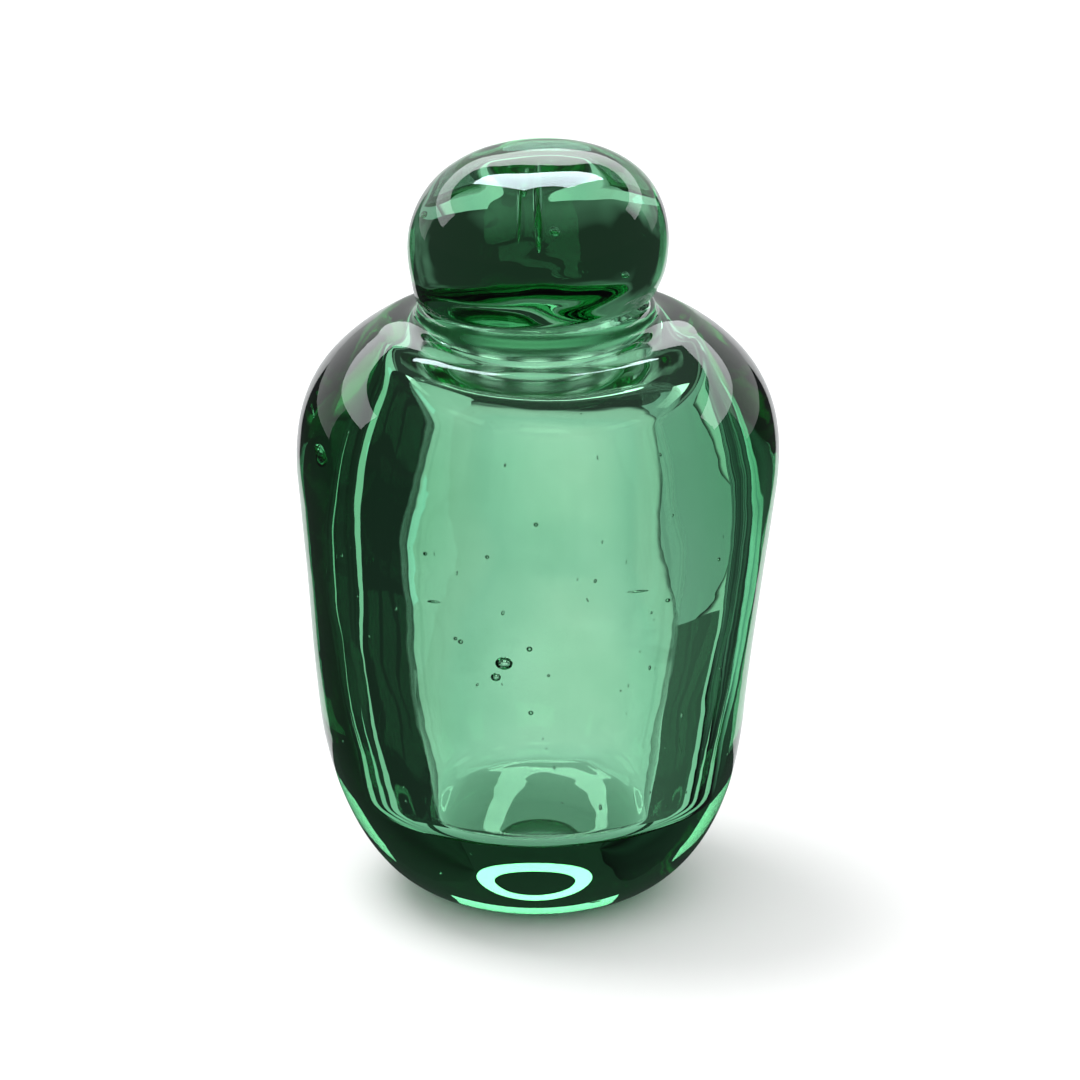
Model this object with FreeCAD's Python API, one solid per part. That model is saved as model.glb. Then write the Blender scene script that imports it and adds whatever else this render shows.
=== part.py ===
"""Stoppered apothecary vial of thick green glass, in millimetres.

Two pieces: the bottle, a solid of revolution with a round chamber and a ground tapered socket,
and the stopper, a domed knob with a ground tapered plug. The origin is the centre of the foot,
+Z is up and is the axis of both pieces. Each outline is drawn in the XZ plane, as radius and
height, and turned once round Z.
"""

import FreeCAD, Part
import math
import os

# Foot and heel
FOOT_RADIUS = 8.3           # outer edge of the flat ring that the bottle stands on
PUNT_RADIUS = 4.0           # edge of the shallow dimple under the foot
PUNT_DEPTH = 0.9
HEEL_TOP_RADIUS = 22.1      # where the rounded heel runs into the straight wall
HEEL_TOP_HEIGHT = 19.3
HEEL_FOOT_REACH = 6.8       # how far the heel's curve keeps the direction of the foot
HEEL_WALL_REACH = 12.0      # how far it keeps the direction of the wall

# Wall, which widens upwards, and shoulder
WALL_TOP_RADIUS = 24.7
WALL_TOP_HEIGHT = 44.6
SHOULDER_WALL_REACH = 8.1
SHOULDER_TOP_RADIUS = 16.6
SHOULDER_TOP_HEIGHT = 61.3
SHOULDER_TOP_SLOPE = 30.0   # degrees above the horizontal, rising to the neck
SHOULDER_TOP_REACH = 7.8

# Neck and rim
RIM_RADIUS = 12.3
RIM_HEIGHT = 64.0
RIM_ROUND = 0.8             # fire-polished outer edge
NECK_ROOT_HEIGHT = 61.5     # the level that the hollow curve at the neck's root settles to
NECK_ROOT_REACH = 1.6

# Ground joint: a taper of 1 in 10 on the diameter
TAPER_RATE = 0.05           # change of radius with height
SOCKET_MOUTH_RADIUS = 8.4   # radius of the taper at the level of the rim
SOCKET_END_HEIGHT = 56.2    # lower end of the ground taper
SOCKET_END_ROUND = 0.8
MOUTH_ROUND = 0.9           # rounded inner edge of the rim
JOINT_CLEARANCE = 0.05      # radial, all along the taper

# Chamber
CHAMBER_FLOOR_HEIGHT = 10.4
CHAMBER_FLOOR_ROUND = 2.2
CHAMBER_FLOOR_RADIUS = 11.6
CHAMBER_WALL_RADIUS = 13.8   # at the top of the wall, which bellies out below
CHAMBER_WALL_HEIGHT = 52.4
CHAMBER_UPPER_LEAN = 6.5     # degrees that the wall leans outwards below its top
CHAMBER_LOWER_LEAN = 12.0    # degrees that it leans inwards where it meets the floor's round
CHAMBER_WALL_REACH = 12.0
CHAMBER_SHOULDER_REACH = 2.0
CHAMBER_TOP_REACH = 2.0

# Stopper
KNOB_UNDERSIDE = 64.2       # the taper seats before the knob can touch the rim
KNOB_EDGE_ROUND = 0.8
KNOB_RADIUS = 13.4
KNOB_WIDEST_HEIGHT = 69.8
KNOB_FLANK_RADIUS = 13.8    # radius of the arc below the widest level
KNOB_CORNER_RADIUS = 9.5    # radius of the arc above it
KNOB_TOP = 79.6
PLUG_END_HEIGHT = 55.6
PLUG_END_ROUND = 1.0
PLUG_ROOT_ROUND = 0.6       # fillet between the plug and the knob's underside


def point(radius, height):
    return FreeCAD.Vector(radius, 0, height)


def line(start, end):
    return Part.LineSegment(start, end).toShape()


def bezier(*poles):
    curve = Part.BezierCurve()
    curve.setPoles(list(poles))
    return curve.toShape()


def on_arc(centre, radius, degrees):
    angle = math.radians(degrees)
    return centre + FreeCAD.Vector(math.cos(angle), 0, math.sin(angle)) * radius


def arc(centre, radius, start, end):
    """An arc about centre, from one angle to another in degrees, anticlockwise if end > start."""
    places = [on_arc(centre, radius, degrees) for degrees in (start, (start + end) / 2, end)]
    return Part.Arc(*places).toShape()


def heading(degrees):
    """A unit step in the outline's plane, at an angle above the outward direction."""
    return on_arc(FreeCAD.Vector(0, 0, 0), 1.0, degrees)


def chain(*edges):
    """The edges in order, with a straight line wherever one starts away from the last one's end."""
    joined = []
    for edge in edges:
        if joined:
            here = joined[-1].valueAt(joined[-1].LastParameter)
            start = edge.valueAt(edge.FirstParameter)
            if here.distanceToPoint(start) > 1e-7:
                joined.append(line(here, start))
        joined.append(edge)
    return joined


def turned(edges):
    """The solid that a closed outline makes when it turns once round the axis."""
    first = edges[0].valueAt(edges[0].FirstParameter)
    last = edges[-1].valueAt(edges[-1].LastParameter)
    face = Part.Face(Part.Wire(edges + [line(last, first)]))
    solid = face.revolve(FreeCAD.Vector(0, 0, 0), FreeCAD.Vector(0, 0, 1), 360)
    if solid.Volume < 0:
        solid.reverse()
    return solid


def taper_radius(height):
    """The socket's radius at a height."""
    return SOCKET_MOUTH_RADIUS - TAPER_RATE * (RIM_HEIGHT - height)


def bottle_outside():
    """The outside, from the middle of the punt to the rim's outer edge."""
    punt_sphere = (PUNT_RADIUS**2 + PUNT_DEPTH**2) / (2 * PUNT_DEPTH)
    punt_centre = point(0, PUNT_DEPTH - punt_sphere)
    punt_edge = math.degrees(math.acos(PUNT_RADIUS / punt_sphere))
    foot = point(FOOT_RADIUS, 0)
    heel_top = point(HEEL_TOP_RADIUS, HEEL_TOP_HEIGHT)
    wall_top = point(WALL_TOP_RADIUS, WALL_TOP_HEIGHT)
    up_wall = (wall_top - heel_top).normalize()
    shoulder_top = point(SHOULDER_TOP_RADIUS, SHOULDER_TOP_HEIGHT)
    to_neck = heading(180 - SHOULDER_TOP_SLOPE)
    neck_top = point(RIM_RADIUS, RIM_HEIGHT - RIM_ROUND)
    return chain(
        arc(punt_centre, punt_sphere, 90, punt_edge),
        bezier(
            foot,
            foot + heading(0) * HEEL_FOOT_REACH,
            heel_top - up_wall * HEEL_WALL_REACH,
            heel_top,
        ),
        bezier(
            wall_top,
            wall_top + up_wall * SHOULDER_WALL_REACH,
            shoulder_top - to_neck * SHOULDER_TOP_REACH,
            shoulder_top,
        ),
        bezier(
            shoulder_top,
            shoulder_top + to_neck * NECK_ROOT_REACH,
            point(RIM_RADIUS, NECK_ROOT_HEIGHT),
            neck_top,
        ),
        arc(point(RIM_RADIUS - RIM_ROUND, neck_top.z), RIM_ROUND, 0, 90),
    )


def bottle_inside():
    """The inside, from the rim's inner edge down to the middle of the chamber's floor."""
    lean = math.degrees(math.atan(TAPER_RATE))
    mouth_height = RIM_HEIGHT - MOUTH_ROUND
    mouth_centre = point(taper_radius(mouth_height) + MOUTH_ROUND, mouth_height)
    lip_centre = point(taper_radius(SOCKET_END_HEIGHT) + SOCKET_END_ROUND, SOCKET_END_HEIGHT)
    lip_bottom = on_arc(lip_centre, SOCKET_END_ROUND, 270)
    wall_top = point(CHAMBER_WALL_RADIUS, CHAMBER_WALL_HEIGHT)
    floor_centre = point(
        CHAMBER_FLOOR_RADIUS - CHAMBER_FLOOR_ROUND, CHAMBER_FLOOR_HEIGHT + CHAMBER_FLOOR_ROUND
    )
    wall_foot = on_arc(floor_centre, CHAMBER_FLOOR_ROUND, -CHAMBER_LOWER_LEAN)
    return [
        *chain(
            arc(mouth_centre, MOUTH_ROUND, 90, 180 - lean),
            arc(lip_centre, SOCKET_END_ROUND, 180 - lean, 270),
            bezier(
                lip_bottom,
                lip_bottom + heading(0) * CHAMBER_TOP_REACH,
                wall_top + heading(90 + CHAMBER_UPPER_LEAN) * CHAMBER_SHOULDER_REACH,
                wall_top,
            ),
            bezier(
                wall_top,
                wall_top - heading(90 + CHAMBER_UPPER_LEAN) * CHAMBER_WALL_REACH,
                wall_foot + heading(90 - CHAMBER_LOWER_LEAN) * CHAMBER_WALL_REACH,
                wall_foot,
            ),
            arc(floor_centre, CHAMBER_FLOOR_ROUND, -CHAMBER_LOWER_LEAN, -90),
        ),
        line(on_arc(floor_centre, CHAMBER_FLOOR_ROUND, -90), point(0, CHAMBER_FLOOR_HEIGHT)),
    ]


def bottle():
    return turned(chain(*bottle_outside(), *bottle_inside()))


def knob():
    """The knob's outside, from the edge of its underside to the middle of its crown."""
    flank_centre = point(KNOB_RADIUS - KNOB_FLANK_RADIUS, KNOB_WIDEST_HEIGHT)
    edge_height = KNOB_UNDERSIDE + KNOB_EDGE_ROUND
    edge_out = math.sqrt(
        (KNOB_FLANK_RADIUS - KNOB_EDGE_ROUND) ** 2 - (KNOB_WIDEST_HEIGHT - edge_height) ** 2
    )
    edge_centre = point(flank_centre.x + edge_out, edge_height)
    edge_angle = math.degrees(math.atan2(edge_height - KNOB_WIDEST_HEIGHT, edge_out))
    corner_out = KNOB_RADIUS - KNOB_CORNER_RADIUS
    rise = KNOB_TOP - KNOB_WIDEST_HEIGHT
    crown_radius = (rise**2 + corner_out**2 - KNOB_CORNER_RADIUS**2) / (
        2 * (rise - KNOB_CORNER_RADIUS)
    )
    corner_centre = point(corner_out, KNOB_WIDEST_HEIGHT)
    crown_centre = point(0, KNOB_TOP - crown_radius)
    crown_angle = math.degrees(math.atan2(corner_centre.z - crown_centre.z, corner_out))
    return chain(
        arc(edge_centre, KNOB_EDGE_ROUND, -90, edge_angle),
        arc(flank_centre, KNOB_FLANK_RADIUS, edge_angle, 0),
        arc(corner_centre, KNOB_CORNER_RADIUS, 0, crown_angle),
        arc(crown_centre, crown_radius, crown_angle, 90),
    )


def plug():
    """The plug's outside, from the middle of its end up to the knob's underside."""
    lean = math.degrees(math.atan(TAPER_RATE))
    end_radius = taper_radius(PLUG_END_HEIGHT) - JOINT_CLEARANCE
    end_centre = point(end_radius - PLUG_END_ROUND, PLUG_END_HEIGHT + PLUG_END_ROUND)
    root_height = KNOB_UNDERSIDE - PLUG_ROOT_ROUND
    root_radius = taper_radius(root_height) - JOINT_CLEARANCE
    root_centre = point(root_radius + PLUG_ROOT_ROUND, root_height)
    return [
        line(point(0, PLUG_END_HEIGHT), on_arc(end_centre, PLUG_END_ROUND, -90)),
        *chain(
            arc(end_centre, PLUG_END_ROUND, -90, -lean),
            arc(root_centre, PLUG_ROOT_ROUND, 180 - lean, 90),
        ),
    ]


def stopper():
    return turned(chain(*plug(), *knob()))


os.makedirs("parts", exist_ok=True)
for name, make in {"bottle": bottle, "stopper": stopper}.items():
    shape = make()
    shape.exportStep(f"parts/{name}.step")
    box = shape.BoundBox
    print(
        f"{name}: valid {shape.isValid()}, {shape.ShapeType}, {shape.Volume / 1000:.2f} cm3, "
        f"diameter {box.XLength:.2f}, z {box.ZMin:.2f} to {box.ZMax:.2f}"
    )
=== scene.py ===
"""Looks of the stoppered apothecary vial: hand-worked bottle-green glass on a pale studio floor.

Both pieces are solids of revolution in the CAD model. Here each is turned again from the same
outline at a finer step, with the small unevenness of hand-worked glass, the seeds (gas bubbles)
in it and the grey ground surfaces of the stopper's joint. Clear glass shows what stands round it,
so the studio has dark, pale and bright cards that the camera doesn't see.
"""

import math
import random

import bmesh
import bpy
from mathutils import Matrix, Vector, noise


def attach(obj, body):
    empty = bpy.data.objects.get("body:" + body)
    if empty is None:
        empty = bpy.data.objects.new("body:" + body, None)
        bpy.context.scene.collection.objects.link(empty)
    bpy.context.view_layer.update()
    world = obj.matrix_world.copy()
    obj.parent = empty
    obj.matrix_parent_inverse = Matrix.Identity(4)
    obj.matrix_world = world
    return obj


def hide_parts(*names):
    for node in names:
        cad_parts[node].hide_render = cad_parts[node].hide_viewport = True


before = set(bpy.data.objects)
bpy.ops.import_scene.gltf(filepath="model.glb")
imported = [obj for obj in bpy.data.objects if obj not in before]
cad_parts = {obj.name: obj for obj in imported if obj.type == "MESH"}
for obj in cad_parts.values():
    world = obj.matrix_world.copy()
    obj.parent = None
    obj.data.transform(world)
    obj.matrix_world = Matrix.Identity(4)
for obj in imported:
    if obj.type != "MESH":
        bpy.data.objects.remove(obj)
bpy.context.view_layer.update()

MM = 0.001

# The outlines, in millimetres, as part.py has them
FOOT_RADIUS = 8.3
PUNT_RADIUS, PUNT_DEPTH = 4.0, 0.9
HEEL_TOP = (22.1, 19.3)
HEEL_REACH = (6.8, 12.0)
WALL_TOP = (24.7, 44.6)
SHOULDER_TOP = (16.6, 61.3)
SHOULDER_REACH = (8.1, 7.8)
SHOULDER_SLOPE = 30.0
RIM = (12.3, 64.0)
RIM_ROUND = 0.8
NECK_ROOT_HEIGHT, NECK_ROOT_REACH = 61.5, 1.6
TAPER_RATE = 0.05
SOCKET_MOUTH_RADIUS = 8.4
SOCKET_END_HEIGHT, SOCKET_END_ROUND = 56.2, 0.8
MOUTH_ROUND = 0.9
JOINT_CLEARANCE = 0.05
CHAMBER_FLOOR = (11.6, 10.4)
CHAMBER_FLOOR_ROUND = 2.2
CHAMBER_WALL_TOP = (13.8, 52.4)
CHAMBER_LEAN = (6.5, 12.0)
CHAMBER_WALL_REACH = 12.0
CHAMBER_REACH = (2.0, 2.0)
KNOB_UNDERSIDE, KNOB_EDGE_ROUND = 64.2, 0.8
KNOB_WIDEST = (13.4, 69.8)
KNOB_FLANK_RADIUS, KNOB_CORNER_RADIUS = 13.8, 9.5
KNOB_TOP = 79.6
PLUG_END_HEIGHT, PLUG_END_ROUND, PLUG_ROOT_ROUND = 55.6, 1.0, 0.6

# How finely the outlines are stepped, and the turn round the axis
STEP = 0.35                 # mm along an outline
SEGMENTS = 256

# Hand-made unevenness, in mm
CHAMBER_SHIFT = 0.5         # the chamber stands off the body's axis towards +X
KNOB_SHIFT = 0.25           # and the knob off the plug's
WALL_WAVE, CHAMBER_WAVE, KNOB_WAVE = 0.08, 0.13, 0.14
KNOB_TILT, KNOB_LIFT = 0.04, 0.35   # the tilt is a slope
FLOOR_WAVE = 0.02

# The glass: its colour over one unit of depth, and how many such units there are in a metre
GLASS_COLOUR, GLASS_DENSITY = (0.08, 0.72, 0.36, 1), 64.0
GROUND_ROUGHNESS = 0.3
CORD_DEPTH = 0.0001         # metres

# The pool of light on the table: half sizes in metres, its middle in half sizes, and its light
# from the middle out, as (distance, light, red against green and blue). It is 1 at the outline.
POOL_HALF = (0.068, 0.200)
POOL_MIDDLE = (-0.13, -0.45, 0)
POOL_REACH = 8.0
POOL_LIGHT = (
    (0.0, 1.06, 1.1 / 1.06), (0.15, 1.05, 1.0), (0.3, 0.98, 0.94), (0.5, 0.89, 0.90),
    (0.65, 0.90, 0.97), (0.9, 0.86, 1.0), (0.96, 0.76, 1.0), (1.0, 0.3, 1.0), (1.06, 0.05, 1.0),
    (5.5, 0.045, 1.0), (7.5, 0.25, 1.0), (POOL_REACH, 0.3, 1.0),
)
# What the glass sees of the room, from the horizon up to just under the zenith
ROOM_LIGHT = ((0.03, 0.05), (0.07, 0.06), (0.5, 0.06), (0.65, 0.07))

# Upright cards that start at the glass, in mm
FIN_FOOT, FIN_TOP, FIN_GAP, FIN_STEPS = 1.0, 56.0, 0.5, 18

# The camera: distance and target in mm, elevation in degrees
CAMERA_DISTANCE, CAMERA_ELEVATION, CAMERA_LENS = 725, 20, 233.3
CAMERA_TARGET = (0.4, 0, 37.8)

# Seeds near the front of the body: across, height, depth under the skin, half sizes along x and z
FRONT_SEEDS = (
    (-3.0, 32.0, 5.0, 0.85, 0.7),
    (-3.8, 30.5, 4.5, 0.5, 0.45),
    (-0.6, 33.5, 6.0, 0.28, 0.28),
    (-7.6, 34.5, 4.0, 0.2, 0.2),
    (-7.0, 34.0, 5.0, 0.25, 0.25),
    (-0.5, 26.5, 5.0, 0.25, 0.25),
    (-9.8, 38.5, 3.0, 0.7, 0.16),
    (9.6, 39.5, 4.0, 1.1, 0.14),
    (1.2, 31.0, 3.5, 0.16, 0.16),
    (0.0, 47.5, 4.0, 0.22, 0.22),
    (-4.6, 44.0, 4.0, 0.2, 0.2),
    (-10.4, 43.5, 4.0, 0.22, 0.22),
    (12.6, 38.0, 3.0, 0.28, 0.22),
    (17.5, 41.0, 2.5, 0.2, 0.2),
)
# Seeds in the knob: across, height, depth behind the axis, half sizes along x and z
KNOB_SEEDS = (
    (0.4, 72.5, 0.0, 0.35, 3.6),
    (-0.9, 72.0, 1.0, 0.16, 3.0),
    (-6.0, 72.8, 3.0, 0.22, 0.22),
    (-5.5, 72.0, 4.0, 0.2, 0.2),
    (-2.0, 70.5, 5.0, 0.25, 0.25),
    (1.6, 70.8, 5.0, 0.25, 0.25),
    (-0.3, 69.5, 5.0, 0.22, 0.22),
    (1.4, 68.6, 4.0, 0.3, 0.2),
    (-7.0, 69.8, 4.0, 0.2, 0.2),
    (9.6, 72.6, 2.0, 0.2, 0.3),
    (5.4, 67.2, 3.0, 0.25, 0.2),
    (3.9, 77.6, 2.0, 0.55, 0.3),
)


# ---------------------------------------------------------------- outlines

def straight(start, end):
    """Points along a line, without the last one."""
    length = math.dist(start, end)
    count = max(1, round(length / STEP))
    return [
        (
            start[0] + (end[0] - start[0]) * i / count,
            start[1] + (end[1] - start[1]) * i / count,
        )
        for i in range(count)
    ]


def bezier(a, b, c, d):
    """Points along a cubic curve with four poles, without the last one."""
    count = max(4, round((math.dist(a, b) + math.dist(b, c) + math.dist(c, d)) / STEP))
    points = []
    for i in range(count):
        t = i / count
        weights = ((1 - t) ** 3, 3 * t * (1 - t) ** 2, 3 * t * t * (1 - t), t**3)
        points.append(tuple(sum(w * p[k] for w, p in zip(weights, (a, b, c, d))) for k in (0, 1)))
    return points


def on_arc(centre, radius, degrees):
    angle = math.radians(degrees)
    return (centre[0] + radius * math.cos(angle), centre[1] + radius * math.sin(angle))


def arc(centre, radius, start, end):
    """Points along an arc, from one angle to another in degrees, without the last one."""
    count = max(6, round(math.radians(abs(end - start)) * radius / STEP))
    return [on_arc(centre, radius, start + (end - start) * i / count) for i in range(count)]


def moved(place, degrees, distance):
    return on_arc(place, distance, degrees)


def taper_radius(height):
    return SOCKET_MOUTH_RADIUS - TAPER_RATE * (RIM[1] - height)


TAPER_LEAN = math.degrees(math.atan(TAPER_RATE))


def bottle_outside():
    sphere = (PUNT_RADIUS**2 + PUNT_DEPTH**2) / (2 * PUNT_DEPTH)
    centre = (0, PUNT_DEPTH - sphere)
    foot = (FOOT_RADIUS, 0)
    up_wall = math.degrees(math.atan2(WALL_TOP[1] - HEEL_TOP[1], WALL_TOP[0] - HEEL_TOP[0]))
    to_neck = 180 - SHOULDER_SLOPE
    neck_top = (RIM[0], RIM[1] - RIM_ROUND)
    return [
        *arc(centre, sphere, 90, math.degrees(math.acos(PUNT_RADIUS / sphere))),
        *straight((PUNT_RADIUS, 0), foot),
        *bezier(
            foot,
            moved(foot, 0, HEEL_REACH[0]),
            moved(HEEL_TOP, up_wall, -HEEL_REACH[1]),
            HEEL_TOP,
        ),
        *straight(HEEL_TOP, WALL_TOP),
        *bezier(
            WALL_TOP,
            moved(WALL_TOP, up_wall, SHOULDER_REACH[0]),
            moved(SHOULDER_TOP, to_neck, -SHOULDER_REACH[1]),
            SHOULDER_TOP,
        ),
        *bezier(
            SHOULDER_TOP,
            moved(SHOULDER_TOP, to_neck, NECK_ROOT_REACH),
            (RIM[0], NECK_ROOT_HEIGHT),
            neck_top,
        ),
        *arc((RIM[0] - RIM_ROUND, neck_top[1]), RIM_ROUND, 0, 90),
    ]


def bottle_inside():
    mouth_height = RIM[1] - MOUTH_ROUND
    mouth = (taper_radius(mouth_height) + MOUTH_ROUND, mouth_height)
    lip = (taper_radius(SOCKET_END_HEIGHT) + SOCKET_END_ROUND, SOCKET_END_HEIGHT)
    lip_bottom = on_arc(lip, SOCKET_END_ROUND, 270)
    corner = (CHAMBER_FLOOR[0] - CHAMBER_FLOOR_ROUND, CHAMBER_FLOOR[1] + CHAMBER_FLOOR_ROUND)
    wall_foot = on_arc(corner, CHAMBER_FLOOR_ROUND, -CHAMBER_LEAN[1])
    return [
        *straight((RIM[0] - RIM_ROUND, RIM[1]), on_arc(mouth, MOUTH_ROUND, 90)),
        *arc(mouth, MOUTH_ROUND, 90, 180 - TAPER_LEAN),
        *straight(
            on_arc(mouth, MOUTH_ROUND, 180 - TAPER_LEAN),
            on_arc(lip, SOCKET_END_ROUND, 180 - TAPER_LEAN),
        ),
        *arc(lip, SOCKET_END_ROUND, 180 - TAPER_LEAN, 270),
        *bezier(
            lip_bottom,
            moved(lip_bottom, 0, CHAMBER_REACH[0]),
            moved(CHAMBER_WALL_TOP, 90 + CHAMBER_LEAN[0], CHAMBER_REACH[1]),
            CHAMBER_WALL_TOP,
        ),
        *bezier(
            CHAMBER_WALL_TOP,
            moved(CHAMBER_WALL_TOP, 90 + CHAMBER_LEAN[0], -CHAMBER_WALL_REACH),
            moved(wall_foot, 90 - CHAMBER_LEAN[1], CHAMBER_WALL_REACH),
            wall_foot,
        ),
        *arc(corner, CHAMBER_FLOOR_ROUND, -CHAMBER_LEAN[1], -90),
        *straight((corner[0], CHAMBER_FLOOR[1]), (0, CHAMBER_FLOOR[1])),
        (0, CHAMBER_FLOOR[1]),
    ]


def stopper_outline():
    end = (
        taper_radius(PLUG_END_HEIGHT) - JOINT_CLEARANCE - PLUG_END_ROUND,
        PLUG_END_HEIGHT + PLUG_END_ROUND,
    )
    root_height = KNOB_UNDERSIDE - PLUG_ROOT_ROUND
    root = (taper_radius(root_height) - JOINT_CLEARANCE + PLUG_ROOT_ROUND, root_height)
    flank = (KNOB_WIDEST[0] - KNOB_FLANK_RADIUS, KNOB_WIDEST[1])
    edge_height = KNOB_UNDERSIDE + KNOB_EDGE_ROUND
    edge_out = math.sqrt(
        (KNOB_FLANK_RADIUS - KNOB_EDGE_ROUND) ** 2 - (KNOB_WIDEST[1] - edge_height) ** 2
    )
    edge = (flank[0] + edge_out, edge_height)
    edge_angle = math.degrees(math.atan2(edge_height - KNOB_WIDEST[1], edge_out))
    corner = (KNOB_WIDEST[0] - KNOB_CORNER_RADIUS, KNOB_WIDEST[1])
    rise = KNOB_TOP - KNOB_WIDEST[1]
    crown_radius = (rise**2 + corner[0] ** 2 - KNOB_CORNER_RADIUS**2) / (
        2 * (rise - KNOB_CORNER_RADIUS)
    )
    crown = (0, KNOB_TOP - crown_radius)
    crown_angle = math.degrees(math.atan2(corner[1] - crown[1], corner[0]))
    return [
        *straight((0, PLUG_END_HEIGHT), (end[0], PLUG_END_HEIGHT)),
        *arc(end, PLUG_END_ROUND, -90, -TAPER_LEAN),
        *straight(
            on_arc(end, PLUG_END_ROUND, -TAPER_LEAN), on_arc(root, PLUG_ROOT_ROUND, 180 - TAPER_LEAN)
        ),
        *arc(root, PLUG_ROOT_ROUND, 180 - TAPER_LEAN, 90),
        *straight(on_arc(root, PLUG_ROOT_ROUND, 90), on_arc(edge, KNOB_EDGE_ROUND, -90)),
        *arc(edge, KNOB_EDGE_ROUND, -90, edge_angle),
        *arc(flank, KNOB_FLANK_RADIUS, edge_angle, 0),
        *arc(corner, KNOB_CORNER_RADIUS, 0, crown_angle),
        *arc(crown, crown_radius, crown_angle, 90),
        (0, KNOB_TOP),
    ]


# ---------------------------------------------------------------- meshes

def smoothstep(low, high, x):
    t = min(1.0, max(0.0, (x - low) / (high - low)))
    return t * t * (3 - 2 * t)


def turned(outline, place, ground):
    """A closed mesh from an outline that starts and ends on the axis. place(radius, height, turn,
    index) gives a point in mm, and ground(radius, height, index) how ground the surface is."""
    mesh = bmesh.new()
    layer = mesh.verts.layers.float.new("ground")
    rings = []
    for index, (radius, height) in enumerate(outline):
        pole = index in (0, len(outline) - 1)
        ring = []
        for k in range(1 if pole else SEGMENTS):
            turn = 2 * math.pi * k / SEGMENTS
            vertex = mesh.verts.new(place(radius, height, turn, index) * MM)
            vertex[layer] = ground(radius, height, index)
            ring.append(vertex)
        rings.append(ring)
    for lower, upper in zip(rings, rings[1:]):
        for k in range(SEGMENTS):
            after = (k + 1) % SEGMENTS
            if len(lower) == 1:
                corners = (lower[0], upper[after], upper[k])
            elif len(upper) == 1:
                corners = (lower[k], lower[after], upper[0])
            else:
                corners = (lower[k], lower[after], upper[after], upper[k])
            mesh.faces.new(corners)
    bmesh.ops.recalc_face_normals(mesh, faces=mesh.faces)
    return mesh


def add_seed(mesh, centre, size, tilt=0.0):
    """A void in the glass: a small closed ball whose faces look inwards."""
    turn = Matrix.Rotation(tilt, 4, "Y")
    spot = Matrix.Translation(Vector(centre) * MM) @ turn @ Matrix.Diagonal((*size, 1.0))
    made = bmesh.ops.create_icosphere(mesh, subdivisions=3, radius=MM, matrix=spot)
    faces = {face for vertex in made["verts"] for face in vertex.link_faces}
    bmesh.ops.reverse_faces(mesh, faces=list(faces))


def wave(point, size, offset):
    """Smooth unevenness from -1 to 1 over lumps of a size in mm."""
    return noise.noise(point / size + Vector((offset, 0.3 * offset, -offset)))


def lean(height):
    """How far the hand-made body wanders off its axis."""
    return 0.2 * smoothstep(30, 50, height) - 0.4 * math.exp(-(((height - 22) / 12) ** 2))


BODY_OUTLINE = bottle_outside()


def body_radius(height):
    """The outside radius of the body at a height."""
    return max(r for r, z in BODY_OUTLINE if abs(z - height) < 0.6)


def finished(name, mesh, body, cad_node, material):
    """The piece that stands for a CAD node, smooth and in its material."""
    data = bpy.data.meshes.new(name)
    mesh.to_mesh(data)
    mesh.free()
    data.polygons.foreach_set("use_smooth", [True] * len(data.polygons))
    data.materials.append(material)
    piece = bpy.data.objects.new(name, data)
    bpy.context.scene.collection.objects.link(piece)
    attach(piece, body)
    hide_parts(cad_node)
    return piece


def make_bottle(material):
    outside, inside = bottle_outside(), bottle_inside()
    outline = outside + inside
    inner_start = len(outside)

    def place(radius, height, turn, index):
        out = Vector((math.cos(turn), math.sin(turn), 0))
        point = out * radius + Vector((0, 0, height))
        joint = smoothstep(52.5, 55.4, height)      # the ground socket and the rim stay true
        if index < inner_start:
            free = smoothstep(0.0, 3.0, height) * (1 - smoothstep(61.5, 63.0, height))
            push = WALL_WAVE * (wave(point, 13, 1.0) + 0.35 * wave(point, 5, 7.0)) * free
            return point + out * push + Vector((lean(height) * free, 0, 0))
        calm = smoothstep(10.5, 20.0, height)
        free = calm * (1 - joint)
        push = CHAMBER_WAVE * (wave(point, 9, 21.0) + 0.15 * wave(point, 4, 33.0)) * free
        floor = 1 - smoothstep(10.5, 14.0, height)
        drop = floor * FLOOR_WAVE * wave(point, 7, 41.0)
        shift = (CHAMBER_SHIFT + lean(height)) * (1 - joint)
        return point + out * push * min(1.0, radius / 4) + Vector((shift, 0, drop))

    def ground(radius, height, index):
        if index < inner_start:
            wear = smoothstep(FOOT_RADIUS + 1.6, FOOT_RADIUS - 0.5, radius) if height < 0.4 else 0.0
            scar = smoothstep(PUNT_RADIUS + 0.6, PUNT_RADIUS - 0.6, radius) if height < 1.2 else 0.0
            return max(0.5 * wear, 1.2 * scar)
        above = smoothstep(SOCKET_END_HEIGHT - 0.3, SOCKET_END_HEIGHT + 0.3, height)
        below = 1 - smoothstep(RIM[1] - 1.2, RIM[1] - 0.6, height)
        return above * below * (radius < SOCKET_MOUTH_RADIUS + 0.3)

    mesh = turned(outline, place, ground)
    for across, height, depth, half_x, half_z in FRONT_SEEDS:
        reach = body_radius(height) - depth
        add_seed(mesh, (across, -math.sqrt(reach**2 - across**2), height), (half_x, half_z, half_z))
    scatter = random.Random(11)
    for _ in range(70):
        height = scatter.uniform(6, 54)
        skin = body_radius(height)
        core = CHAMBER_WALL_TOP[0] + 1.6 if height > 8 else 2.0
        reach = scatter.uniform(core, skin - 1.0) if skin - 1.0 > core else None
        turn = scatter.uniform(0, 2 * math.pi)
        size = scatter.uniform(0.06, 0.17)
        stretch = scatter.uniform(1.0, 2.2)
        if reach:
            place_at = (reach * math.cos(turn), reach * math.sin(turn), height)
            add_seed(mesh, place_at, (size, size, size * stretch), scatter.uniform(-0.6, 0.6))
    return finished("vial_bottle", mesh, "bottle", "bottle", material)


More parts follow.
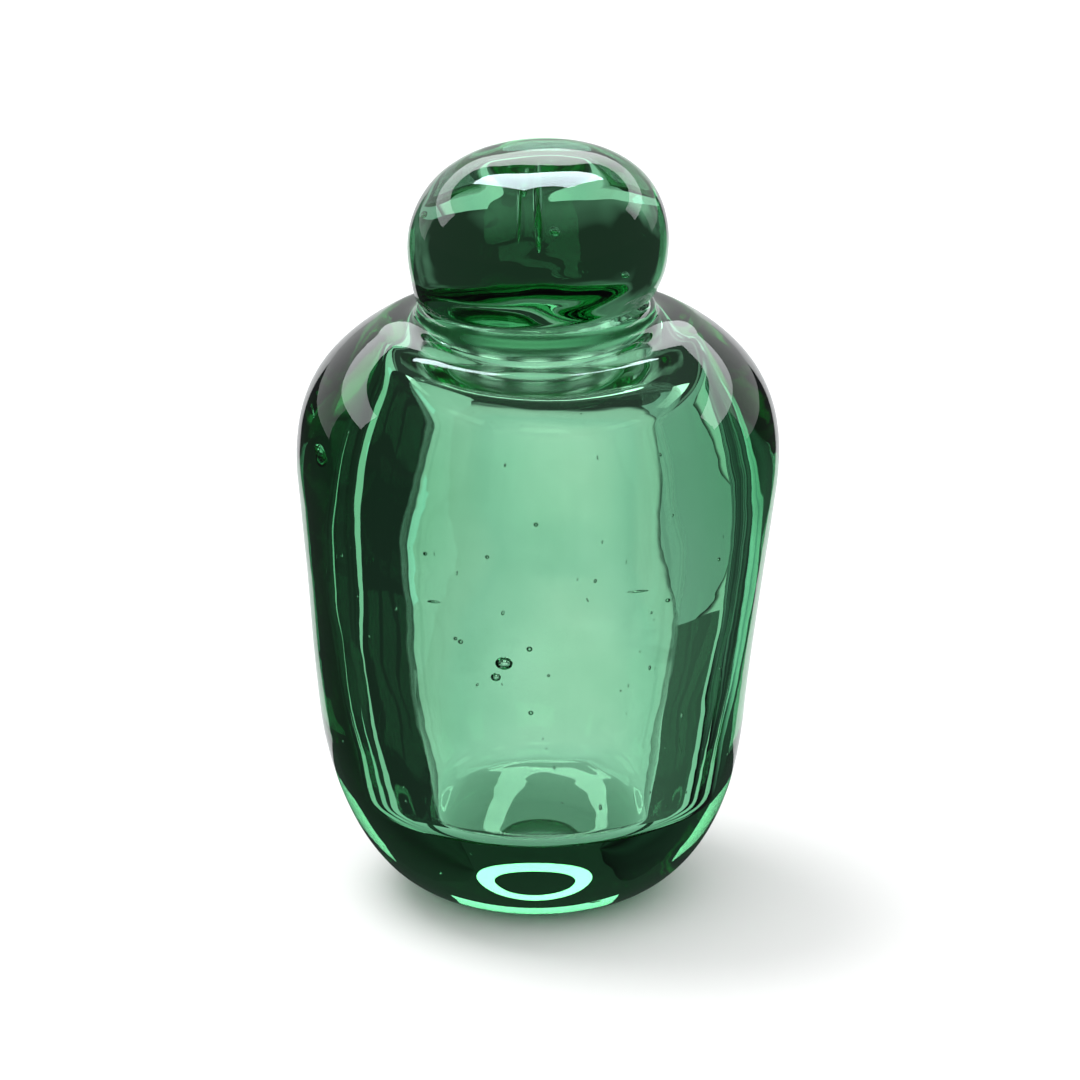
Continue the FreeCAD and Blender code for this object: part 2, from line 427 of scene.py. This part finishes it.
def make_stopper(material):
    outline = stopper_outline()

    def place(radius, height, turn, index):
        out = Vector((math.cos(turn), math.sin(turn), 0))
        point = out * radius + Vector((0, 0, height))
        knob = smoothstep(KNOB_UNDERSIDE - 0.4, KNOB_UNDERSIDE, height)
        lump = smoothstep(KNOB_UNDERSIDE, KNOB_UNDERSIDE + 3.0, height)
        push = KNOB_WAVE * (wave(point, 9, 53.0) + 0.2 * wave(point, 4, 61.0)) * lump
        away = Vector((out.x * radius, out.y * radius, height - 71)).normalized()
        raised = knob * (KNOB_LIFT + KNOB_TILT * point.x)
        return point + away * push + Vector((KNOB_SHIFT * lump, 0, raised))

    def ground(radius, height, index):
        above = smoothstep(SOCKET_END_HEIGHT - 0.3, SOCKET_END_HEIGHT + 0.3, height)
        below = 1 - smoothstep(RIM[1] - 1.0, RIM[1] - 0.5, height)
        return above * below * (radius < SOCKET_MOUTH_RADIUS + 0.3)

    mesh = turned(outline, place, ground)
    for across, height, behind, half_x, half_z in KNOB_SEEDS:
        add_seed(mesh, (across, behind, height), (half_x, min(half_x, half_z), half_z))
    return finished("vial_stopper", mesh, "stopper", "stopper", material)


# ---------------------------------------------------------------- nodes

def node(tree, kind, **values):
    made = tree.nodes.new(kind)
    for name, value in values.items():
        setattr(made, name, value)
    return made


def new_material(name):
    """A material with nothing in its node tree, and the tree."""
    material = bpy.data.materials.new(name)
    material.use_nodes = True
    material.node_tree.nodes.clear()
    return material, material.node_tree


def to_output(tree, surface, volume=None):
    out = node(tree, "ShaderNodeOutputMaterial")
    tree.links.new(surface, out.inputs["Surface"])
    if volume:
        tree.links.new(volume, out.inputs["Volume"])


def object_place(tree):
    return node(tree, "ShaderNodeTexCoord").outputs["Object"]


def noise_of(tree, place, scale, detail, distortion=0.0):
    made = node(tree, "ShaderNodeTexNoise")
    made.inputs["Scale"].default_value = scale
    made.inputs["Detail"].default_value = detail
    made.inputs["Distortion"].default_value = distortion
    tree.links.new(place, made.inputs["Vector"])
    return made.outputs["Fac"]


def stretched(tree, place, scale, location=(0, 0, 0)):
    made = node(tree, "ShaderNodeMapping")
    made.inputs["Location"].default_value = location
    made.inputs["Scale"].default_value = scale
    tree.links.new(place, made.inputs["Vector"])
    return made.outputs[0]


def ranged(tree, value, source, target=(0.0, 1.0), kind="LINEAR"):
    """A value carried from one range to another, and kept inside it."""
    made = node(tree, "ShaderNodeMapRange", interpolation_type=kind)
    made.inputs["From Min"].default_value, made.inputs["From Max"].default_value = source
    made.inputs["To Min"].default_value, made.inputs["To Max"].default_value = target
    tree.links.new(value, made.inputs["Value"])
    return made.outputs[0]


def coloured(tree, value, *stops):
    """A colour from a value, through (position, colour) stops in rising order."""
    made = node(tree, "ShaderNodeValToRGB")
    elements = made.color_ramp.elements
    for element, (position, colour) in zip(elements, (stops[0], stops[-1])):
        element.position, element.color = position, (*colour, 1)
    for position, colour in stops[1:-1]:
        elements.new(position).color = (*colour, 1)
    tree.links.new(value, made.inputs[0])
    return made.outputs[0]


# ---------------------------------------------------------------- materials

def glass(name):
    """Bottle green glass: it drinks red most and green least, with cords, smears, a film and
    ground bands."""
    material, tree = new_material(name)
    link = tree.links.new
    shader = node(tree, "ShaderNodeBsdfPrincipled")
    shader.inputs["Transmission Weight"].default_value = 1.0
    shader.inputs["IOR"].default_value = 1.5
    volume = node(tree, "ShaderNodeVolumeAbsorption")
    volume.inputs["Color"].default_value = GLASS_COLOUR
    volume.inputs["Density"].default_value = GLASS_DENSITY
    place = object_place(tree)

    # Ground bands are rough, and old smears dull the skin a little here and there
    ground = node(tree, "ShaderNodeAttribute", attribute_name="ground")
    smears = noise_of(tree, place, 60, 3, distortion=1.2)
    rough = node(tree, "ShaderNodeMath", operation="MULTIPLY_ADD")
    rough.inputs[1].default_value = GROUND_ROUGHNESS
    link(ground.outputs["Fac"], rough.inputs[0])
    link(ranged(tree, smears, (0.55, 0.8), (0.0, 0.05)), rough.inputs[2])
    link(rough.outputs[0], shader.inputs["Roughness"])

    # A faint film: the skin passes a little less light in places
    film = noise_of(tree, place, 140, 4)
    tint = coloured(tree, film, (0.35, (0.93, 0.96, 0.94)), (0.6, (1, 1, 1)))
    link(tint, shader.inputs["Base Color"])

    # Cords: fine ripples that run round the glass, left by the gather
    bump = node(tree, "ShaderNodeBump")
    bump.inputs["Strength"].default_value = 1.0
    bump.inputs["Distance"].default_value = CORD_DEPTH
    link(noise_of(tree, stretched(tree, place, (45, 45, 160)), 1.0, 2), bump.inputs["Height"])
    link(bump.outputs[0], shader.inputs["Normal"])

    to_output(tree, shader.outputs[0], volume.outputs[0])
    return material


def plain(name, colour, roughness=0.6):
    material = bpy.data.materials.new(name)
    material.use_nodes = True
    shader = material.node_tree.nodes["Principled BSDF"]
    shader.inputs["Base Color"].default_value = (*colour, 1)
    shader.inputs["Roughness"].default_value = roughness
    shader.inputs["Specular IOR Level"].default_value = 0.0
    return material


def emission(name, colour, strength):
    material, tree = new_material(name)
    light = node(tree, "ShaderNodeEmission")
    light.inputs["Color"].default_value = (*colour, 1)
    light.inputs["Strength"].default_value = strength
    to_output(tree, light.outputs[0])
    return material


def mottled(name):
    """A dim light with paler clouds in it."""
    material, tree = new_material(name)
    clouds = noise_of(tree, object_place(tree), 120, 3)
    colour = coloured(tree, clouds, (0.42, (0.04, 0.045, 0.04)), (0.66, (0.55, 0.62, 0.58)))
    light = node(tree, "ShaderNodeEmission")
    tree.links.new(colour, light.inputs["Color"])
    to_output(tree, light.outputs[0])
    return material


def one_sided(name, low, high, stretch, top, bottom):
    """Light from a card's front only: streaks between two colours, that fade out above over the
    heights in top and below over those in bottom."""
    material, tree = new_material(name)
    link = tree.links.new
    place = object_place(tree)
    streaks = noise_of(tree, stretched(tree, place, stretch), 1.0, 2)
    height = node(tree, "ShaderNodeSeparateXYZ")
    fade = node(tree, "ShaderNodeMath", operation="MULTIPLY")
    light = node(tree, "ShaderNodeEmission")
    side = node(tree, "ShaderNodeNewGeometry")
    clear = node(tree, "ShaderNodeBsdfTransparent")
    mix = node(tree, "ShaderNodeMixShader")
    link(coloured(tree, streaks, (0.38, low), (0.62, high)), light.inputs["Color"])
    link(place, height.inputs[0])
    link(ranged(tree, height.outputs["Z"], bottom), fade.inputs[0])
    link(ranged(tree, height.outputs["Z"], top, (1.0, 0.0)), fade.inputs[1])
    link(fade.outputs[0], light.inputs["Strength"])
    link(side.outputs["Backfacing"], mix.inputs[0])
    link(light.outputs[0], mix.inputs[1])
    link(clear.outputs[0], mix.inputs[2])
    to_output(tree, mix.outputs[0])
    return material


# ---------------------------------------------------------------- studio

def staged(name, corners, faces, material):
    """A studio card that shows only in the glass: it casts no shadow, the camera looks past it
    and the skin doesn't mirror it."""
    data = bpy.data.meshes.new(name)
    data.from_pydata([Vector(c) * MM for c in corners], [], faces)
    data.materials.append(material)
    made = bpy.data.objects.new(name, data)
    bpy.context.scene.collection.objects.link(made)
    made.visible_camera = False
    made.visible_diffuse = False
    made.visible_shadow = False
    made.visible_glossy = False
    return made


def card(name, outline, height, material):
    """A flat card at a height, with its outline as (x, y) corners in mm."""
    return staged(name, [(x, y, height) for x, y in outline], [tuple(range(len(outline)))], material)


def screen(name, start, end, low, high, material):
    """A curved card round the vial, from one bearing to another in degrees, between two
    (distance, height) edges. Bearing 0 is behind the vial and 90 on its +X side."""
    steps = max(2, round(abs(end - start) / 4))
    corners, faces = [], []
    for i in range(steps + 1):
        angle = math.radians(start + (end - start) * i / steps)
        for distance, height in (low, high):
            corners.append((distance * math.sin(angle), distance * math.cos(angle), height))
        if i:
            faces.append((2 * i - 2, 2 * i, 2 * i + 1, 2 * i - 1))
    return staged(name, corners, faces, material)


def fin(name, offset, bearing, length, material, mirror=False):
    """An upright card that starts at the glass and follows its outline. Its plane passes offset
    mm to the +X side of the axis and heads along a bearing. Its front is on its left, or on its
    right if it's mirrored."""
    along = Vector((math.sin(math.radians(bearing)), math.cos(math.radians(bearing))))
    spots = []
    for step in range(FIN_STEPS + 1):
        height = FIN_FOOT + (FIN_TOP - FIN_FOOT) * step / FIN_STEPS
        reach = body_radius(height) + FIN_GAP
        across = abs(offset * along.y)
        start = -offset * along.x + math.sqrt(max(1.0, reach**2 - across**2))
        spots.append((Vector((offset, 0)) + along * start, height))
    end = Vector((offset, 0)) + along * length
    spots += [(end, FIN_TOP * 0.75), (end, 0.5)]
    corners = [(-p.x if mirror else p.x, p.y, z) for p, z in spots]
    if mirror:
        corners.reverse()
    return staged(name, corners, [tuple(range(len(corners)))], material)


def ring_light(name, elevation, distance, outer, inner, material):
    """A ring lamp behind the vial that faces it, with outer and inner (half width, half height)."""
    turn = Matrix.Rotation(math.radians(elevation), 3, "X")
    count = 64
    corners, faces = [], []
    for i in range(count):
        angle = 2 * math.pi * i / count
        for wide, high in (outer, inner):
            corners.append(turn @ Vector((wide * math.cos(angle), distance, high * math.sin(angle))))
        k = (i + 1) % count
        faces.append((2 * i, 2 * k, 2 * k + 1, 2 * i + 1))
    return staged(name, corners, faces, material)


def make_floor():
    bpy.ops.mesh.primitive_plane_add(size=60.0, location=(0, 0, 0))
    floor = bpy.context.object
    floor.name = "floor"
    floor.data.materials.append(plain("floor_paper", (0.85, 0.85, 0.85)))
    floor.visible_transmission = False
    floor.visible_glossy = False


def make_table():
    """What the glass sees of the table: a pool of light round the vial, warmer near it and cooler
    far off, shaded where the vial stands, and a dim room beyond."""
    material, tree = new_material("table_light")
    link = tree.links.new
    place = object_place(tree)

    # The pool's outline is a rounded rectangle: the distance from its middle is 1 on it
    half_x, half_y = POOL_HALF
    across = stretched(tree, place, (1 / half_x, 1 / half_y, 0), location=POOL_MIDDLE)
    square = node(tree, "ShaderNodeVectorMath", operation="MULTIPLY")
    size = node(tree, "ShaderNodeVectorMath", operation="LENGTH")
    root = node(tree, "ShaderNodeMath", operation="SQRT")
    near = node(tree, "ShaderNodeMath", operation="DIVIDE")
    near.inputs[1].default_value = POOL_REACH
    link(across, square.inputs[0])
    link(across, square.inputs[1])
    link(square.outputs[0], size.inputs[0])
    link(size.outputs["Value"], root.inputs[0])
    link(root.outputs[0], near.inputs[0])
    colour = coloured(tree, near.outputs[0], *(
        (distance / POOL_REACH, (value * red, value, value)) for distance, value, red in POOL_LIGHT
    ))

    reach = node(tree, "ShaderNodeVectorMath", operation="LENGTH")
    light = node(tree, "ShaderNodeEmission")
    link(place, reach.inputs[0])
    shade = ranged(tree, reach.outputs["Value"], (0.009, 0.026), (0.55, 1.0), kind="SMOOTHSTEP")
    link(shade, light.inputs["Strength"])
    link(colour, light.inputs["Color"])
    to_output(tree, light.outputs[0])
    far = 30000
    card("table", [(-far, -far), (far, -far), (far, far), (-far, far)], -0.05, material)


def make_world():
    """A pale room for the camera, and a dim one for the glass."""
    world = bpy.data.worlds.new("studio")
    bpy.context.scene.world = world
    world.use_nodes = True
    tree = world.node_tree
    tree.nodes.clear()
    link = tree.links.new
    parts = node(tree, "ShaderNodeSeparateXYZ")
    link(node(tree, "ShaderNodeTexCoord").outputs["Generated"], parts.inputs[0])
    colour = coloured(
        tree, parts.outputs["Z"],
        (0.0, (0.04, 0.045, 0.045)),
        *((z, (value, value * 1.02, value * 1.02)) for z, value in ROOM_LIGHT),
        (1.0, (0.12, 0.12, 0.12)),
    )
    path = node(tree, "ShaderNodeLightPath")
    seen = node(tree, "ShaderNodeBackground")
    seen.inputs["Color"].default_value = (0.95, 0.955, 0.955, 1)
    lit = node(tree, "ShaderNodeBackground")
    mix = node(tree, "ShaderNodeMixShader")
    out = node(tree, "ShaderNodeOutputWorld")
    link(colour, lit.inputs["Color"])
    link(path.outputs["Is Camera Ray"], mix.inputs[0])
    link(lit.outputs[0], mix.inputs[1])
    link(seen.outputs[0], mix.inputs[2])
    link(mix.outputs[0], out.inputs["Surface"])


def make_near_cards():
    """Dark screens beside the glass, fins behind it, papers on the table, a streak of light painted
    on the table and a painted shadow on the table under the foot.
    """
    black = emission("black_card", (0.03, 0.035, 0.033), 1.0)
    dim = emission("dim_card", (0.12, 0.14, 0.13), 1.0)
    pale = emission("pale_card", (0.48, 0.53, 0.54), 1.0)
    paper = emission("paper_card", (0.93, 0.95, 0.96), 1.0)
    # The glow of the streak of light painted on the table
    cool = emission("cool_card", (0.85, 1.0, 1.05), 1.3)
    screen("left_screen", -74, -114, (21.0, 0.5), (25.9, 44), black)
    screen("left_screen_top", -74, -114, (25.9, 44), (27.0, 62), black)
    screen("right_screen", 73, 108, (21.0, 0.5), (25.4, 29), dim)
    screen("knob_screen", -74, 74, (20.0, 60.5), (20.0, 85), mottled("mottled_card"))

    # The left fins are dark, and their twins on the right carry streaks of light
    dark = one_sided(
        "dark_fin", (0.02, 0.025, 0.022), (0.05, 0.06, 0.055), (90, 90, 12),
        top=(0.060, 0.070), bottom=(-0.01, 0.0),
    )
    streaky = one_sided(
        "streaky_fin", (0.04, 0.05, 0.05), (0.30, 0.36, 0.36), (160, 160, 8),
        top=(0.040, 0.060), bottom=(0.006, 0.018),
    )
    bright = one_sided(
        "bright_fin", (0.55, 0.75, 0.78), (1.3, 1.5, 1.5), (60, 60, 14),
        top=(0.034, 0.050), bottom=(0.008, 0.018),
    )
    for name, offset, bearing, length, right in (
        ("outer", -14.4, -25, 90, streaky),
        ("second", -12.3, -12, 90, streaky),
        ("side", -18.0, 14, 74, bright),
        ("inner", -13.0, 14, 66, bright),
        ("middle", -6.3, 14, 50, streaky),
    ):
        fin(f"{name}_fin_left", offset, bearing, length, dark)
        fin(f"{name}_fin_right", offset, bearing, length, right, mirror=True)

    card(
        "left_paper",
        [(-50, -2), (-74, -2), (-84, 30), (-106, 40), (-400, 80), (-400, 400), (-50, 300)],
        0.3, paper,
    )
    # Painted light: a bright, cool streak on the table, which the glass shows as a streak of light
    card("left_light_streak", [(-76, 98), (-84, 80), (-150, 126), (-138, 156)], 0.5, cool)
    card("right_paper", [(84, -40), (300, -40), (300, 300), (78, 260)], 0.4, pale)
    # Painted shadow: a dark strip on the table across the spot where the foot stands
    card(
        "foot_shadow_strip",
        [(-26, -2.4), (-8, -1.4), (8, -1.8), (26, -2.6), (26, 0.4), (8, 1.0), (-8, 1.3), (-26, 0.2)],
        -0.03, black,
    )


def make_far_cards():
    """A ring lamp and a ceiling light behind the vial, and windows on the other walls."""
    lamp = emission("lamp_card", (1.0, 1.0, 1.0), 5.0)
    window = emission("window_card", (1.0, 1.0, 1.0), 2.2)
    ceiling = emission("ceiling_card", (0.93, 0.98, 1.0), 3.5)
    ring_light("ring_lamp", 19, 1500, (350, 230), (240, 150), lamp)
    screen("ceiling_back", -26, 26, (1200, 760), (1060, 960), ceiling)
    for k, bearing in enumerate((62, 118, 180, 242, 298)):
        screen(f"window_{k}", bearing - 16, bearing + 16, (1500, 300), (1500, 780), window)


def make_mirrored_cards():
    """What the skin mirrors, and nothing shows through the glass: pale paper, a pale wall and a
    skylight, all behind the vial."""
    paper = emission("back_paper_card", (0.93, 0.95, 0.96), 1.0)
    haze = emission("haze_card", (0.93, 0.96, 0.96), 0.7)
    high = emission("high_card", (0.95, 0.98, 1.0), 3.0)
    sky = emission("sky_card", (0.78, 0.92, 1.0), 14.0)
    for made in (
        card("back_paper", [(-40, 26), (40, 26), (1600, 4000), (-1600, 4000)], 0.2, paper),
        screen("back_wall", -62, 62, (3900, 0), (3900, 1300), haze),
        screen("back_high", -78, 78, (3900, 1300), (3300, 2000), high),
        screen("skylight", -40, 34, (1300, 1300), (600, 1850), sky),
    ):
        made.visible_transmission = False
        made.visible_glossy = True


def make_lights():
    """Two soft lights that draw the shadow on the floor. The glass doesn't show them."""
    for name, energy, spread, heading in (
        ("key", 1.6, 34, (0.38, -0.22, -0.9)),
        ("fill", 3.6, 150, (0.05, 0.05, -1.0)),
    ):
        data = bpy.data.lights.new(name, "SUN")
        data.angle = math.radians(spread)
        data.energy = energy
        light = bpy.data.objects.new(name, data)
        light.rotation_euler = Vector(heading).to_track_quat("-Z", "Y").to_euler()
        light.visible_glossy = False
        light.visible_transmission = False
        bpy.context.scene.collection.objects.link(light)


def make_camera():
    target = Vector(CAMERA_TARGET) * MM
    elevation = math.radians(CAMERA_ELEVATION)
    data = bpy.data.cameras.new("camera")
    data.sensor_width = 36
    data.lens = CAMERA_LENS
    data.clip_start, data.clip_end = 0.01, 20
    camera = bpy.data.objects.new("camera", data)
    bpy.context.scene.collection.objects.link(camera)
    back = Vector((0, -math.cos(elevation), math.sin(elevation)))
    camera.location = target + back * CAMERA_DISTANCE * MM
    camera.rotation_euler = (math.pi / 2 - elevation, 0, 0)
    bpy.context.scene.camera = camera


make_camera()
bottle = make_bottle(glass("bottle_glass"))
stopper = make_stopper(glass("stopper_glass"))
make_floor()
make_table()
make_world()
make_near_cards()
make_far_cards()
make_mirrored_cards()
make_lights()
bpy.context.scene.view_settings.view_transform = "Standard"
bpy.context.scene.cycles.max_bounces = 24
bpy.context.scene.cycles.transmission_bounces = 24
bpy.context.scene.cycles.glossy_bounces = 12
